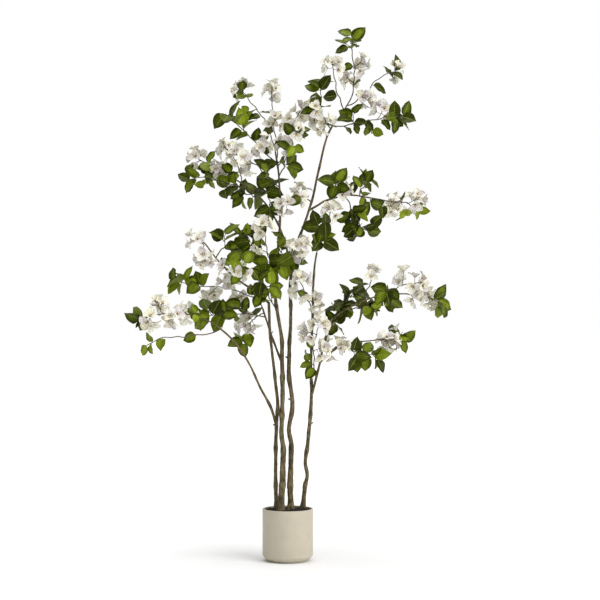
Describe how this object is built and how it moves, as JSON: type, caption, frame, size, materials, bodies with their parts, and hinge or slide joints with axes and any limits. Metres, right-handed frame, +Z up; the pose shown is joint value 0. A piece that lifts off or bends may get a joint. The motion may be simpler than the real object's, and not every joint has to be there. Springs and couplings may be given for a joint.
{
  "type": "artificial bougainvillea in a pot",
  "caption": "Artificial bougainvillea tree: slender knobbly stems with arching boughs, pointed green leaves and white three-bract blooms, in a plain cylindrical pot",
  "frame": {"origin": "middle of the pot's flat underside, on the floor", "axes": "+Z up the stems; -Y toward the side that the picture shows; +X to that view's right"},
  "size_m": [1.0678, 0.6586, 1.7696],
  "materials": {
    "pot_shell": "smooth matte cream",
    "fill": "dark grit set in the cement that weights the pot",
    "bark": "dry grey-brown bark with knobs",
    "foliage": "printed cloth leaves and white cloth bracts on thin wired twigs"
  },
  "bodies": {
    "root": {"pot": "pot_shell", "soil": "fill", "stem_a": "bark", "bough_a": "bark", "bough_a_high": "bark", "stem_b": "bark", "bough_b": "bark", "stem_c": "bark", "bough_c_left": "bark", "bough_c_right": "bark", "stem_d": "bark", "bough_d_right": "bark", "bough_d_far": "bark", "bough_d_low": "bark", "spray_top_peak": "foliage", "spray_top_left": "foliage", "spray_top_right": "foliage", "spray_top_low_right": "foliage", "spray_top_rosette": "foliage", "spray_top_low_left": "foliage", "spray_ul_peak": "foliage", "spray_ul_left": "foliage", "spray_ul_right": "foliage", "spray_ul_mid": "foliage", "spray_ul_hang": "foliage", "spray_ul_front": "foliage", "spray_lt_end": "foliage", "spray_lt_up": "foliage", "spray_lt_low": "foliage", "spray_lt_hang": "foliage", "spray_lt_in": "foliage", "spray_ur_end": "foliage", "spray_ur_far": "foliage", "spray_ur_up": "foliage", "spray_ur_low": "foliage", "spray_ur_in": "foliage", "spray_ur_d": "foliage", "spray_ur_mid": "foliage", "spray_cm_a1": "foliage", "spray_cm_a2": "foliage", "spray_cm_a3": "foliage", "spray_cm_b1": "foliage", "spray_cm_b2": "foliage", "spray_cm_b3": "foliage", "spray_cm_s": "foliage", "spray_cm_r": "foliage", "spray_cm_mid": "foliage", "spray_cm_low": "foliage", "spray_cm_big": "foliage", "spray_ll_1": "foliage", "spray_ll_2": "foliage", "spray_rm_1": "foliage", "spray_rm_far": "foliage", "spray_rm_up": "foliage", "spray_rm_low": "foliage", "spray_rm_3": "foliage", "spray_rl_1": "foliage", "spray_rl_2": "foliage", "spray_rl_4": "foliage", "spray_rl_5": "foliage"}
  },
  "joints": []
}
